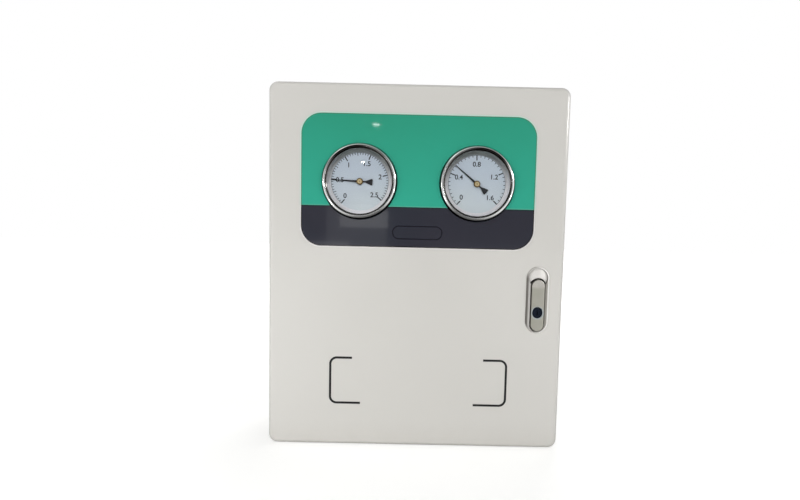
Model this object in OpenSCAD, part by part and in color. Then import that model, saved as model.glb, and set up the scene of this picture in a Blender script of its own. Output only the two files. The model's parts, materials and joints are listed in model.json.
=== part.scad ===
/* [Cabinet] */
// Width of the cabinet body
body_w = 402; // [390:1:440]
// Height of the cabinet body
body_h = 492; // [480:1:540]
// Depth of the body, from the wall to the shoulder that the door shuts against
body_d = 137; // [136:1:160]
// Thickness of the steel sheet
sheet_t = 1.5; // [1.2:0.1:1.8]
// Corner radius of the body, seen from the front
body_corner_r = 6; // [5:0.5:10]
// Bend radius between the side walls and the shoulder
shoulder_bend_r = 3; // [2.5:0.5:4]
// How far the rain lip stands forward of the shoulder
lip_h = 10; // [8:0.5:11]
// Width of the shoulder at the top, bottom and lock side
shoulder_w = 15; // [14:0.5:17]

/* [Door] */
// How much smaller the door is than the body, on each side
door_reveal = 1; // [0.5:0.5:3]
// Gap between the door's edge and the shoulder
door_gap = 3; // [2.6:0.1:4]
// Depth of the door pan
door_depth = 20; // [19:0.5:22]
// Corner radius of the door, seen from the front
door_corner_r = 12; // [9:0.5:16]
// Radius rolled between the door's face and its edges
door_roll_r = 6; // [3:0.5:6.5]
// Width of the door gasket
gasket_w = 10; // [8:0.5:11]

/* [Hinge] */
// Distance from the door's left edge to the hinge axis
hinge_in = 8; // [7.5:0.1:8.2]
// Distance from the door's face back to the hinge axis
hinge_back = 8; // [7.5:0.1:8.5]
// Radius of the hinge pins
hinge_pin_r = 2.5; // [2:0.1:2.8]
// Height of the hinge brackets
hinge_bracket_h = 24; // [16:1:40]
// Height of each hinge above or below the middle of the door
hinge_z = 170; // [140:1:200]

/* [Facia] */
// Width of the printed facia
facia_w = 312; // [300:1:330]
// Height of the printed facia
facia_h = 175; // [160:1:180]
// Height of the middle of the facia above the middle of the cabinet
facia_z = 117; // [112:1:120]
// Corner radius of the facia
facia_corner_r = 27; // [10:1:40]
// Thickness of the facia
facia_t = 2; // [1:0.5:3]

/* [Gauges] */
// Distance of each gauge from the middle of the cabinet
gauge_x = 78.3; // [70:0.1:86]
// Height of the gauges above the middle of the cabinet
gauge_z = 116; // [105:1:125]
// Outer radius of the gauge bezel
bezel_r = 49; // [46:0.5:52]
// Width of the bezel ring, seen from the front
bezel_ring_w = 3.5; // [3.5:0.5:5]
// How far the bezel stands in front of the door's face
bezel_proud = 9; // [7:0.5:12]
// Gap round the bezel in the door and the facia
bezel_gap = 2; // [1.5:0.1:3]
// Depth of the gauge case
case_depth = 32; // [30:0.5:36]
// Depth of the dial behind the front of the bezel
dial_recess = 11; // [10:0.5:12]
// Length of the pointer, from its hub to its tip
pointer_len = 37.5; // [30:0.5:39]
// Turn of the inlet gauge in its fitting
inlet_twist = 6.5; // [-10:0.5:10]
// Turn of the outlet gauge in its fitting
outlet_twist = 2; // [-10:0.5:10]
// Angle of the inlet pointer past its zero
inlet_reading = 54; // [0:1:270]
// Angle of the outlet pointer past its zero
outlet_reading = 87; // [0:1:270]

/* [Gauge movement] */
// Module of the gear teeth
gear_module = 0.4; // [0.36:0.01:0.42]
// Teeth on the pointer's pinion
pinion_teeth = 12; // [12:1:14]
// Teeth that the sector would have as a full wheel
sector_wheel_teeth = 120; // [110:2:126]
// Radius of the middle of the curled tube
curl_r = 34; // [33:0.5:36]

/* [Lock] */
// Distance of the lock from the door's right edge
lock_in = 35; // [34:0.5:45]
// Height of the middle of the lock above the middle of the cabinet
lock_z = -37.8; // [-60:0.1:0]
// Width of the lock's face plate
lock_plate_w = 30.8; // [29:0.2:32]
// Height of the lock's face plate
lock_plate_h = 90.6; // [90:0.2:100]
// How far the lock's face plate stands in front of the door
lock_plate_t = 3.5; // [3.2:0.1:5]
// Radius rolled round the lock's face plate
lock_edge_r = 3; // [1:0.1:3]
// Radius rolled round the mouth of the lock's pocket
lock_mouth_r = 1; // [0.5:0.1:1]
// Width of the lever
lever_w = 18.2; // [17:0.2:19]
// Height of the lever
lever_h = 70.6; // [66:0.2:71]
// Thickness of the lever
lever_t = 6; // [6:0.1:7]
// Distance from the foot of the lever up to the key
key_up = 25.4; // [25:0.1:30]
// Radius of the key barrel
barrel_r = 6.6; // [6:0.1:6.8]
// How far the cam reaches behind the shoulder when it is turned
cam_bite = 7; // [5:0.5:9]

/* [Pipework] */
// Outer radius of the copper pipe
pipe_r = 8; // [7.5:0.1:8.4]
// Wall of the copper pipe
pipe_wall = 1; // [0.8:0.1:1.5]
// Distance of the pipes in front of the wall
pipe_f = 52; // [50:0.5:56]
// Distance of each riser from the middle of the cabinet
riser_x = 150; // [146:1:156]
// How far the pipe sockets stand out of the top
riser_stub = 22; // [22:1:60]
// Height of the main branch above the middle of the cabinet
main_z = -5; // [-12:1:4]
// Height of the standby branch above the middle of the cabinet
standby_z = -125; // [-140:1:-115]
// Distance of each ball valve from the middle of the cabinet
valve_x = 93; // [92:0.5:96]
// Length of a ball valve's lever
valve_lever_len = 65; // [50:1:70]
// Radius of the regulator body
regulator_r = 24; // [22:0.5:27]
// Radius of the regulator's adjusting knob
knob_r = 15; // [12:0.5:18]

/* [Wall mounting] */
// Distance between the wall holes across
wall_hole_dx = 320; // [310:1:350]
// Distance between the wall holes up and down
wall_hole_dz = 420; // [410:1:440]
// Radius of the wall holes
wall_hole_r = 4.5; // [3:0.5:6]

/* [Hidden] */
$fn = 64;

// Clearances: a seat that only touches, a loose hole and a running fit
seat = 0.3;
loose = 0.5;
run = 0.05;
// A little more than nothing, so that a cut runs past its face
past = 1;

// Distances forward of the wall
edge_f = body_d + door_gap;
skin_f = edge_f + door_depth;
inner_skin_f = skin_f - sheet_t;
lip_f = body_d + lip_h;
hinge_f = skin_f - hinge_back;
facia_f = skin_f + facia_t;

// Outline of the door and of the opening behind it
door_w = body_w - 2 * door_reveal;
door_h = body_h - 2 * door_reveal;
hinge_x = -door_w / 2 + hinge_in;
door_edge_swing = sqrt(pow(hinge_in, 2) + pow(door_depth - hinge_back, 2));
bracket_t = 3;
bracket_near = door_edge_swing + 1.2;
bracket_far = bracket_near + bracket_t;
gasket_run = 3;
leaf_t = 2.5;
lip_left = hinge_x + bracket_far + gasket_run + (gasket_w - sheet_t) / 2;
lip_right = body_w / 2 - shoulder_w;
lip_top = body_h / 2 - shoulder_w;
lip_corner_r = 8;

// The gauges
bezel_f = skin_f + bezel_proud;
case_r = bezel_r - 2;
case_wall = 1.5;
case_back_f = bezel_f - 4 - case_depth;
rim_f = bezel_f - 4;
dial_f = bezel_f - dial_recess;
dial_t = 0.8;
window_r = bezel_r - bezel_ring_w;
bezel_roll_r = 0.85 * bezel_ring_w;
gauge_hole_r = bezel_r + bezel_gap;
stem_r = 7;
stem_len = 20;
neck_r = 9;
scale_start = 225;
scale_sweep = 270;

// The movement inside each gauge
pinion_r = gear_module * pinion_teeth / 2;
sector_r = gear_module * sector_wheel_teeth / 2;
gear_ratio = sector_wheel_teeth / pinion_teeth;
gear_centres = pinion_r + sector_r;
arbor_r = 0.9;
pivot_r = 1;
bar_f = case_back_f + 14;
base_plate_t = 1.5;
link_f = bar_f + base_plate_t + 1.1;
link_t = 1;
sector_f = link_f + link_t + 0.4;
sector_t = 1.2;
front_plate_t = 1.2;
front_plate_f = dial_f - dial_t - 2.2 - front_plate_t;
tail_len = 7;
curl_t = 3.2;
curl_h = 10;
curl_end = 0;
curl_start = 260;

// The lock
lock_x = door_w / 2 - lock_in;
plate_f = skin_f + lock_plate_t;
housing_w = 27;
housing_h = lock_plate_h - 2;
housing_gap = 0.3;
lever_front_f = plate_f + 0.5;
lever_back_f = lever_front_f - lever_t;
lever_edge_r = 1.2;
pocket_floor_f = lever_back_f - 1.5;
lever_foot_z = lock_z - lock_plate_h / 2 + 2.5;
lever_pivot_z = lever_foot_z + lever_w / 2;
lever_pivot_f = lever_front_f - lever_t / 2;
foot_swing_r = sqrt(pow(lever_w / 2, 2) + pow(lever_t / 2, 2));
lever_gap = foot_swing_r + seat - lever_w / 2;
lever_pin_r = 1.25;
pit_f = lever_pivot_f - foot_swing_r - 0.5;
housing_back_f = pit_f - 2;
key_z = lever_foot_z + key_up;
button_travel = 2;
shoulder_back_f = body_d - sheet_t;
cam_t = 3;
cam_f = shoulder_back_f - 1;
cam_w = 16;
cam_len = lip_right + cam_bite - lock_x;
clamp_t = 2.5;
core_r = 4.6;
lock_screw_r = 2;
lock_screw_zs = [key_z + 14, lock_z + housing_h / 2 - 7];
button_r = lock_plate_w / 2 - lock_edge_r;
button_z = lock_z + (lock_plate_h - lock_plate_w) / 2;
button_pocket_f = skin_f - 3;
horn_gap = 2.3;
lever_top_z = lever_foot_z + lever_h - lever_w / 2;

// The pipework
pipe_bore_r = pipe_r - pipe_wall;
collar_r = pipe_r + 1.5;
stub_r = pipe_r + 1.6;
valve_half = 28;
valve_body_r = 15;
ball_r = 10.5;
port_r = 6;
stem_pin_r = 3.5;
valve_boss_r = 8;
valve_boss_f = 24;
lever_plate_f = 27;
lever_plate_t = 3;
regulator_half = 46;
flange_r = regulator_r + 7;
flange_t = 5;
screw_ring_r = flange_r - 4;
body_front = 24;
bonnet_f = body_front + 2 * flange_t + 0.6;
knob_f = bonnet_f + 26.5;
knob_len = 18;
nut_across_r = 15.5;
nut_len = 14;
elbow_r = 14;
line_r = 4;
line_bore_r = 3;
line_bend_r = 12;
line_front_f = case_back_f - stem_len - seat;
relief_z = 60;
plate_front_f = 16;
mounting_plate_t = 2;
clamp_z = [170, -65];
grommet_r = 13;
mounting_plate_w = 2 * (riser_x + 14);
mounting_plate_h = wall_hole_dz - 40;
standoff_x = mounting_plate_w / 2 - 45;
standoff_z = mounting_plate_h / 2 - 12;

// Helpers, in which a drawing's second axis points up and its depth is the distance from the wall

module forward(from_f, to_f) {
    translate([0, -from_f, 0]) rotate([90, 0, 0]) linear_extrude(to_f - from_f) children();
}

module turned_forward() {
    rotate([90, 0, 0]) rotate_extrude() children();
}

module peg(r, from_f, to_f) {
    translate([0, -from_f, 0]) rotate([90, 0, 0]) cylinder(r = r, h = to_f - from_f);
}

module across(r, from_x, to_x) {
    translate([from_x, 0, 0]) rotate([0, 90, 0]) cylinder(r = r, h = to_x - from_x);
}

// A hexagon nut along X, its corners chamfered at both ends
module nut_across(r, from_x, to_x) {
    cut = 0.08 * r;
    len = to_x - from_x;
    translate([from_x, 0, 0]) rotate([0, 90, 0]) intersection() {
        cylinder(r = r, h = len, $fn = 6);
        rotate_extrude() polygon([
            [0, 0], [r - cut, 0], [r + cut, 1.2 * cut],
            [r + cut, len - 1.2 * cut], [r - cut, len], [0, len]
        ]);
    }
}

module nut_forward(r, from_f, to_f) {
    rotate(-90) nut_across(r, from_f, to_f);
}

module rounded_box_2d(w, h, r) {
    square([w - 2 * r, h], center = true);
    square([w, h - 2 * r], center = true);
    for (sx = [-1, 1], sz = [-1, 1]) translate([sx * (w / 2 - r), sz * (h / 2 - r)]) circle(r);
}

module stadium_2d(w, h) {
    square([w, h - w], center = true);
    for (sz = [-1, 1]) translate([0, sz * (h - w) / 2]) circle(w / 2);
}

// A stadium drawn as one half of its section: the drawing's first axis is the distance outward from the
// middle line, and its second one the distance from the wall
module turned_stadium(w, h) {
    side = h - w;
    rotate([90, 0, 0]) {
        translate([0, side / 2, 0]) rotate([90, 0, 0]) linear_extrude(side) {
            children();
            mirror([1, 0]) children();
        }
        for (turn = [0, 180]) rotate(turn) translate([0, side / 2, 0])
            rotate_extrude(angle = 180) children();
    }
}

// Half a section of which the front edge is rolled round the radius r
module rolled_half_2d(half, from_f, to_f, r) {
    translate([0, from_f]) square([half, to_f - r - from_f]);
    translate([0, from_f]) square([half - r, to_f - from_f]);
    translate([half - r, to_f - r]) intersection() {
        circle(r);
        square(r);
    }
}

// Half a section of a hole of which the mouth is rolled round the radius r
module mouth_half_2d(half, from_f, to_f, r) {
    difference() {
        translate([0, from_f]) square([half + r, to_f + past - from_f]);
        translate([half, from_f - past]) square([r + past, to_f - r - from_f + past]);
        translate([half + r, to_f - r]) circle(r);
    }
}

// A bent edge that runs all the way round a rounded rectangle: the drawing's first axis is the distance
// outward from the centre of a corner, and its second one the distance from the wall
module rim(w, h, r) {
    rotate([90, 0, 0]) for (i = [0 : 3]) {
        half = i % 2 == 0 ? w / 2 - r : h / 2 - r;
        side = i % 2 == 0 ? h - 2 * r : w - 2 * r;
        rotate(90 * i) {
            translate([half, side / 2, 0]) rotate([90, 0, 0]) linear_extrude(side) children();
            translate([half, side / 2, 0]) rotate_extrude(angle = 90) children();
        }
    }
}

// The section of a wall of which the front edge is bent inward round an arc
module bent_edge_2d(outer_r, bend_r, back_f, front_f) {
    translate([outer_r - sheet_t, back_f]) square([sheet_t, front_f - bend_r - back_f]);
    translate([outer_r - bend_r, front_f - bend_r]) intersection() {
        difference() {
            circle(bend_r);
            circle(bend_r - sheet_t);
        }
        square(bend_r);
    }
}

// Cabinet

module opening_2d(grow) {
    w = lip_right - lip_left + 2 * grow;
    h = 2 * lip_top + 2 * grow;
    translate([(lip_right + lip_left) / 2, 0]) rounded_box_2d(w, h, lip_corner_r + grow);
}

module cabinet_shell() {
    color("#cfcec9") difference() {
        union() {
            rim(body_w, body_h, body_corner_r) bent_edge_2d(body_corner_r, shoulder_bend_r, 0, body_d);
            forward(body_d - sheet_t, body_d) difference() {
                rounded_box_2d(body_w - 2 * shoulder_bend_r, body_h - 2 * shoulder_bend_r,
                    body_corner_r - shoulder_bend_r);
                opening_2d(-sheet_t);
            }
            forward(body_d, lip_f) difference() {
                opening_2d(0);
                opening_2d(-sheet_t);
            }
        }
        for (side = [-1, 1]) translate([side * riser_x, -pipe_f, body_h / 2 - sheet_t - past])
            cylinder(r = grommet_r, h = sheet_t + 2 * past);
    }
}

module back_panel() {
    panel_w = body_w - 2 * (sheet_t + seat);
    panel_h = body_h - 2 * (sheet_t + seat);
    color("#c6c5c0") difference() {
        forward(0, sheet_t) rounded_box_2d(panel_w, panel_h, body_corner_r - sheet_t - seat);
        for (sx = [-1, 1], sz = [-1, 1]) translate([sx * wall_hole_dx / 2, 0, sz * wall_hole_dz / 2])
            peg(wall_hole_r, -past, sheet_t + past);
    }
}

module mounting_plate() {
    color("#b9bcbd") difference() {
        forward(plate_front_f - mounting_plate_t, plate_front_f)
            rounded_box_2d(mounting_plate_w, mounting_plate_h, 8);
        for (sx = [-1, 1], sz = [-1, 1]) translate([sx * standoff_x, 0, sz * standoff_z])
            peg(3 + seat, 0, plate_front_f + past);
        for (sx = [-1, 1], z = clamp_z) translate([sx * riser_x, 0, z])
            peg(3 + seat, 0, plate_front_f + past);
    }
}

module plate_fixings() {
    back = plate_front_f - mounting_plate_t;
    color("#a8a9a6") for (sx = [-1, 1], sz = [-1, 1]) translate([sx * standoff_x, 0, sz * standoff_z]) {
        translate([0, 0, 0]) peg(6, sheet_t, back);
        peg(3, back - past, plate_front_f + 8);
        difference() {
            nut_forward(5.7, plate_front_f, plate_front_f + 5);
            peg(3 + run, plate_front_f - past, plate_front_f + 6);
        }
    }
}

module pipe_grommets() {
    top = body_h / 2;
    inner_r = pipe_r + seat;
    color("#2b2b2c") for (side = [-1, 1]) translate([side * riser_x, -pipe_f, top])
        rotate_extrude() difference() {
            translate([inner_r, -sheet_t - 3]) square([grommet_r + 3 - inner_r, sheet_t + 6]);
            translate([grommet_r - seat, -sheet_t]) square([4, sheet_t]);
        }
}

// Hinges, each a bracket on the shoulder, a leaf in the door and a pin

module hinge_bracket_2d() {
    difference() {
        union() {
            circle(hinge_pin_r + 2);
            translate([0, -2]) square([bracket_far, 4]);
            translate([bracket_near, -2]) square([bracket_t, hinge_f - body_d + 2]);
            translate([bracket_far - 9, hinge_f - body_d - 2.5]) square([9, 2.5]);
        }
        circle(hinge_pin_r + run);
    }
}

module hinge_brackets() {
    color("#8f9294") for (sz = [-1, 1]) translate([hinge_x, -hinge_f, sz * hinge_z - hinge_bracket_h / 2])
        linear_extrude(hinge_bracket_h) hinge_bracket_2d();
}

module door_hinge_leaves() {
    inner = hinge_back - sheet_t;
    lug_z = hinge_bracket_h / 2 + seat;
    color("#c6c5c0") for (sz = [-1, 1]) translate([hinge_x, -hinge_f, sz * hinge_z]) {
        translate([-1.5, -inner, -lug_z - leaf_t]) cube([11, 1.2, 2 * (lug_z + leaf_t)]);
        for (low = [-lug_z - leaf_t, lug_z]) translate([0, 0, low]) linear_extrude(leaf_t) difference() {
            union() {
                circle(hinge_pin_r + 2);
                translate([-1.5, -inner]) square([7, inner]);
            }
            circle(hinge_pin_r + run);
        }
    }
}

module hinge_pins() {
    half = hinge_bracket_h / 2 + seat + leaf_t;
    color("#9a9c9d") for (sz = [-1, 1]) translate([hinge_x, -hinge_f, sz * hinge_z]) {
        translate([0, 0, -half - 2]) cylinder(r = hinge_pin_r, h = 2 * half + 2);
        translate([0, 0, half]) cylinder(r = hinge_pin_r + 1, h = 1.5);
    }
}

// Door

module door_panel() {
    flat_w = door_w - 2 * door_roll_r;
    flat_h = door_h - 2 * door_roll_r;
    color("#d6d5d0") {
        rim(door_w, door_h, door_corner_r) bent_edge_2d(door_corner_r, door_roll_r, edge_f, skin_f);
        difference() {
            forward(inner_skin_f, skin_f) rounded_box_2d(flat_w, flat_h, door_corner_r - door_roll_r);
            for (side = [-1, 1]) translate([side * gauge_x, 0, gauge_z])
                peg(gauge_hole_r, inner_skin_f - past, skin_f + past);
            translate([lock_x, 0, lock_z]) forward(inner_skin_f - past, skin_f + past)
                stadium_2d(housing_w + 2 * housing_gap, housing_h + 2 * housing_gap);
        }
    }
}

module facia_panel() {
    color("#349f84") difference() {
        translate([0, 0, facia_z]) forward(skin_f, facia_f)
            rounded_box_2d(facia_w, facia_h, facia_corner_r);
        for (side = [-1, 1]) translate([side * gauge_x, 0, gauge_z])
            peg(gauge_hole_r, skin_f - past, facia_f + past);
    }
}

module door_gasket() {
    middle = (gasket_w - sheet_t) / 2;
    color("#3a3b3d") forward(lip_f + seat, inner_skin_f) difference() {
        opening_2d(middle);
        opening_2d(middle - gasket_w);
    }
}

// Lock: a face plate with a pocket, a lever that tips out of it, a button above and a key barrel through it

module lock_housing() {
    pocket_w = lever_w + 2 * lever_gap;
    pocket_h = lever_h + 2 * lever_gap;
    color("#a7a9a6") difference() {
        translate([lock_x, 0, lock_z]) {
            turned_stadium(lock_plate_w, lock_plate_h)
                rolled_half_2d(lock_plate_w / 2, skin_f, plate_f, lock_edge_r);
            forward(housing_back_f, skin_f + lock_plate_t / 2) stadium_2d(housing_w, housing_h);
        }
        translate([lock_x, 0, lever_foot_z + lever_h / 2]) turned_stadium(pocket_w, pocket_h)
            mouth_half_2d(pocket_w / 2, pocket_floor_f, plate_f, lock_mouth_r);
        translate([lock_x, 0, lever_pivot_z]) forward(pit_f, pocket_floor_f + past) circle(pocket_w / 2);
        translate([lock_x, 0, button_z]) forward(button_pocket_f, plate_f + past) circle(button_r + 0.35);
        translate([lock_x, 0, key_z]) peg(barrel_r + run, housing_back_f - past, plate_f);
        translate([lock_x, -lever_pivot_f, lever_pivot_z])
            across(lever_pin_r + run, -housing_w / 2 + 0.8, housing_w / 2 - 0.8);
        for (z = lock_screw_zs) translate([lock_x, 0, z])
            peg(lock_screw_r + run, housing_back_f - past, housing_back_f + 6.5);
    }
}

module release_button() {
    dome_r = 22;
    front = plate_f + 1.5;
    color("#c9cbc8") translate([lock_x, 0, button_z]) intersection() {
        forward(button_pocket_f + button_travel + seat, front) difference() {
            circle(button_r);
            translate([0, lever_top_z - button_z]) circle(lever_w / 2 + horn_gap);
            translate([-button_r, lever_top_z - button_z - 2 * button_r]) square(2 * button_r);
        }
        translate([0, -(front - dome_r), 2]) sphere(dome_r);
    }
}

module key_hole_2d(grow) {
    up = 1.2;
    down = 0.4;
    r = barrel_r + 0.4 + grow;
    for (shift = [-down, up]) translate([0, shift]) circle(r);
    translate([-r, -down]) square([2 * r, up + down]);
}

module handle_lever() {
    rim_t = 0.4;
    relief_h = lever_foot_z + lever_h - key_z - barrel_r - 13;
    color("#9b9d93") difference() {
        union() {
            translate([lock_x, 0, lever_foot_z + lever_h / 2])
                turned_stadium(lever_w, lever_h)
                    rolled_half_2d(lever_w / 2, lever_back_f, lever_front_f, lever_edge_r);
            translate([lock_x, 0, key_z]) forward(lever_front_f, lever_front_f + rim_t) key_hole_2d(1);
        }
        translate([lock_x, 0, key_z]) forward(lever_back_f - past, lever_front_f + past) key_hole_2d(0);
        translate([lock_x, -lever_pivot_f, lever_pivot_z]) across(lever_pin_r + run, -lever_w, lever_w);
        translate([lock_x, 0, lever_foot_z + lever_h - 3 - relief_h / 2])
            forward(lever_back_f - past, lever_front_f - 2.5) stadium_2d(lever_w - 5, relief_h);
    }
}

module lever_pin() {
    half = housing_w / 2 - 1.2;
    color("#b5b7b8") translate([lock_x, -lever_pivot_f, lever_pivot_z]) across(lever_pin_r, -half, half);
}

module lock_clamp() {
    clamp_back_f = housing_back_f - seat - clamp_t;
    clamp_w = housing_w + 3;
    clamp_h = housing_h + 10;
    leg_z = housing_h / 2 + 1;
    color("#a8a9a6") difference() {
        translate([lock_x, 0, lock_z]) {
            forward(clamp_back_f, clamp_back_f + clamp_t) stadium_2d(clamp_w, clamp_h);
            forward(clamp_back_f, inner_skin_f) intersection() {
                stadium_2d(clamp_w, clamp_h);
                for (end = [-1, 1]) translate([0, end * (leg_z + 10)])
                    square([2 * clamp_w, 20], center = true);
            }
        }
        translate([lock_x, 0, key_z])
            peg(barrel_r + 1.6 + loose, clamp_back_f - past, housing_back_f + past);
        for (z = lock_screw_zs) translate([lock_x, 0, z])
            peg(lock_screw_r + seat, clamp_back_f - past, housing_back_f + past);
    }
}

module lock_screws() {
    head_f = housing_back_f - seat - clamp_t;
    color("#b5b7b8") for (z = lock_screw_zs) translate([lock_x, 0, z]) difference() {
        union() {
            peg(lock_screw_r, head_f - 1, housing_back_f + 6);
            peg(3.6, head_f - 2.4, head_f);
        }
        translate([-0.5, -(head_f - 1.4), -4]) cube([1, 1.5, 8]);
    }
}

module key_barrel() {
    back_f = cam_f + 0.4;
    color("#22303f") translate([lock_x, 0, key_z]) difference() {
        union() {
            peg(barrel_r, back_f, lever_front_f);
            peg(barrel_r + 1.6, back_f, housing_back_f - seat);
        }
        peg(core_r + run, back_f - past, lever_front_f + past);
    }
}

module key_core() {
    color("#1b2633") translate([lock_x, 0, key_z]) difference() {
        union() {
            peg(core_r, cam_f + 0.2, lever_front_f - 0.4);
            forward(cam_f - cam_t - 6, cam_f + 1) intersection() {
                circle(3.5);
                square([5, 8], center = true);
            }
        }
        translate([-0.6, -lever_front_f, -3]) cube([1.2, 8, 6]);
    }
}

module lock_cam() {
    color("#a8a9a6") translate([lock_x, 0, key_z]) forward(cam_f - cam_t, cam_f) difference() {
        union() {
            circle(9);
            translate([-cam_w / 2, 0]) square([cam_w, cam_len - 4]);
            translate([0, cam_len - 8]) intersection() {
                circle(8);
                translate([-8, 0]) square([16, 8]);
            }
        }
        intersection() {
            circle(3.5 + run);
            square([5 + 2 * run, 8], center = true);
        }
    }
}

module cam_nut() {
    back = cam_f - cam_t;
    color("#b5b7b8") translate([lock_x, 0, key_z]) difference() {
        nut_forward(6.5, back - 4, back);
        peg(3.5 + run, back - 5, back + past);
    }
}

// Gauges

module gauge_place(side) {
    translate([side * gauge_x, 0, gauge_z]) children();
}

module gauge_case() {
    color("#2a2b2d") turned_forward() {
        translate([neck_r + seat, case_back_f]) square([case_r - neck_r - seat, case_wall]);
        translate([case_r - case_wall, case_back_f]) square([case_wall, rim_f - case_back_f]);
    }
}

module gauge_bezel() {
    skirt_f = rim_f - 9;
    color("#d9dcde") turned_forward() difference() {
        union() {
            translate([window_r, skirt_f]) square([bezel_r - window_r, bezel_f - bezel_roll_r - skirt_f]);
            translate([window_r, bezel_f - bezel_roll_r])
                square([bezel_r - bezel_roll_r - window_r, bezel_roll_r]);
            translate([bezel_r - bezel_roll_r, bezel_f - bezel_roll_r]) intersection() {
                circle(bezel_roll_r);
                square(bezel_roll_r);
            }
        }
        translate([0, skirt_f - past]) square([case_r + seat, rim_f + 2.4 + seat - skirt_f + past]);
    }
}

module gauge_lens() {
    color([0.8, 0.9, 0.95, 0.35]) peg(case_r - 0.6, rim_f + 0.2, rim_f + 2.2);
}

// The dial, with the ring that stands between it and the lens
module gauge_dial() {
    outer_r = case_r - case_wall - seat;
    foot_r = outer_r - 3.4;
    ring_f = rim_f - 0.1;
    color("#e6ebf0") {
        difference() {
            peg(outer_r, dial_f - dial_t, dial_f);
            peg(arbor_r + 1.2, dial_f - 2, dial_f + past);
        }
        turned_forward()
            polygon([[foot_r, dial_f], [outer_r, dial_f], [outer_r, ring_f], [outer_r - 0.4, ring_f]]);
    }
}

function polar(r, a) = [r * cos(a), r * sin(a)];

// A gear tooth that points along the angle a, on a pitch circle of radius r
module tooth_2d(r, a, module_size) {
    rotate(a) polygon([
        [r - 1.15 * module_size, 0.8 * module_size],
        [r, 0.62 * module_size],
        [r + 0.8 * module_size, 0.3 * module_size],
        [r + 0.8 * module_size, -0.3 * module_size],
        [r, -0.62 * module_size],
        [r - 1.15 * module_size, -0.8 * module_size]
    ]);
}

// The fixed part of the movement: socket, curled tube, two plates and their pillars
module gauge_movement() {
    pillar_x = 16;
    pillar_z = -29;
    color("#b8964f") {
        difference() {
            union() {
                peg(stem_r, case_back_f - stem_len, case_back_f);
                peg(neck_r, case_back_f - 6, case_back_f + case_wall);
                peg(neck_r + 4, case_back_f + case_wall, case_back_f + case_wall + 2);
                translate([0, 0, -17]) forward(case_back_f + case_wall + 0.5, bar_f)
                    rounded_box_2d(14, 2 * curl_r - 26, 2);
                translate([-3, 0, -curl_r]) forward(bar_f - curl_h - 1, bar_f)
                    square([10, 8], center = true);
            }
            peg(2.5, case_back_f - stem_len - past, case_back_f + 8);
        }
        curled_tube();
        for (i = [0, 1]) movement_plate(i);
        for (x = [-pillar_x, pillar_x]) translate([x, 0, pillar_z])
            peg(1.6, bar_f + base_plate_t, front_plate_f);
        translate([0, 0, 8]) peg(1.6, bar_f + base_plate_t, front_plate_f);
        for (side = [-1, 1]) translate([side * 20, 0, -14])
            peg(1.6, front_plate_f + front_plate_t, dial_f - dial_t);
    }
}

module movement_plate(front) {
    low_f = front == 1 ? front_plate_f : bar_f;
    thick = front == 1 ? front_plate_t : base_plate_t;
    difference() {
        forward(low_f, low_f + thick) union() {
            translate([0, -29]) rounded_box_2d(38, 8, 3);
            translate([0, -9]) rounded_box_2d(9, 42, 4);
            if (front == 1) translate([0, -14]) rounded_box_2d(46, 7, 3);
        }
        peg(arbor_r + run, low_f - past, low_f + thick + past);
        translate([0, 0, -gear_centres]) peg(pivot_r + run, low_f - past, low_f + thick + past);
    }
}

// The curled tube, flattened and closed at its end by a lug that carries the link
module curled_tube() {
    middle_f = bar_f - 0.7 - curl_h / 2;
    rotate([90, 0, 0]) rotate(curl_end) rotate_extrude(angle = curl_start - curl_end)
        translate([curl_r, middle_f]) difference() {
            rounded_box_2d(curl_t, curl_h, 1.5);
            rounded_box_2d(curl_t - 1, curl_h - 1, 1);
        }
    translate([curl_r, 0, -1.2]) {
        forward(middle_f - curl_h / 2, middle_f + curl_h / 2) square([5, 3], center = true);
        forward(middle_f, link_f - seat) square([4, 2.4], center = true);
    }
}

// Where the sector's tail is at rest, opposite the middle of its teeth's travel
function tail_angle(reading) = 270 - (scale_sweep / 2 - reading) / gear_ratio;

module gauge_sector(reading) {
    step = 360 / sector_wheel_teeth;
    first = 90 - (scale_sweep - reading) / gear_ratio;
    last = 90 + reading / gear_ratio;
    count_low = ceil((90 - first) / step) + 1;
    count_high = ceil((last - 90) / step) + 1;
    low = 90 - (count_low + 0.1) * step;
    high = 90 + (count_high + 0.1) * step;
    root_r = sector_r - 1.1 * gear_module;
    color("#c9a860") translate([0, 0, -gear_centres]) {
        forward(sector_f, sector_f + sector_t) difference() {
            union() {
                intersection() {
                    difference() {
                        circle(root_r);
                        circle(root_r - 3);
                    }
                    polygon([[0, 0], polar(2 * sector_r, low), polar(2 * sector_r, high)]);
                }
                polygon([[2.5, 0], polar(root_r - 1, low + 3), polar(root_r - 1, high - 3), [-2.5, 0]]);
                circle(3);
                rotate(tail_angle(reading)) translate([0, -1.5]) square([tail_len, 3]);
                translate(polar(tail_len, tail_angle(reading))) circle(1.8);
                for (k = [-count_low : count_high - 1])
                    tooth_2d(sector_r, 90 + (k + 0.5) * step, gear_module);
            }
        }
        peg(pivot_r, bar_f + 0.2, front_plate_f + front_plate_t);
        translate([tail_len * cos(tail_angle(reading)), 0, tail_len * sin(tail_angle(reading))])
            peg(0.8, link_f - 0.2, sector_f + 0.2);
    }
}

module gauge_link(reading) {
    tail = polar(tail_len, tail_angle(reading)) + [0, -gear_centres];
    tip = [curl_r, -1.2];
    reach = norm(tip - tail);
    aim = atan2(tip[1] - tail[1], tip[0] - tail[0]);
    color("#9fa2a4") translate([tail[0], 0, tail[1]]) forward(link_f, link_f + link_t) rotate(aim)
        difference() {
            union() {
                circle(1.7);
                translate([0, -0.8]) square([reach, 1.6]);
                translate([reach, 0]) circle(1.7);
            }
            circle(0.8 + run);
        }
}

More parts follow.
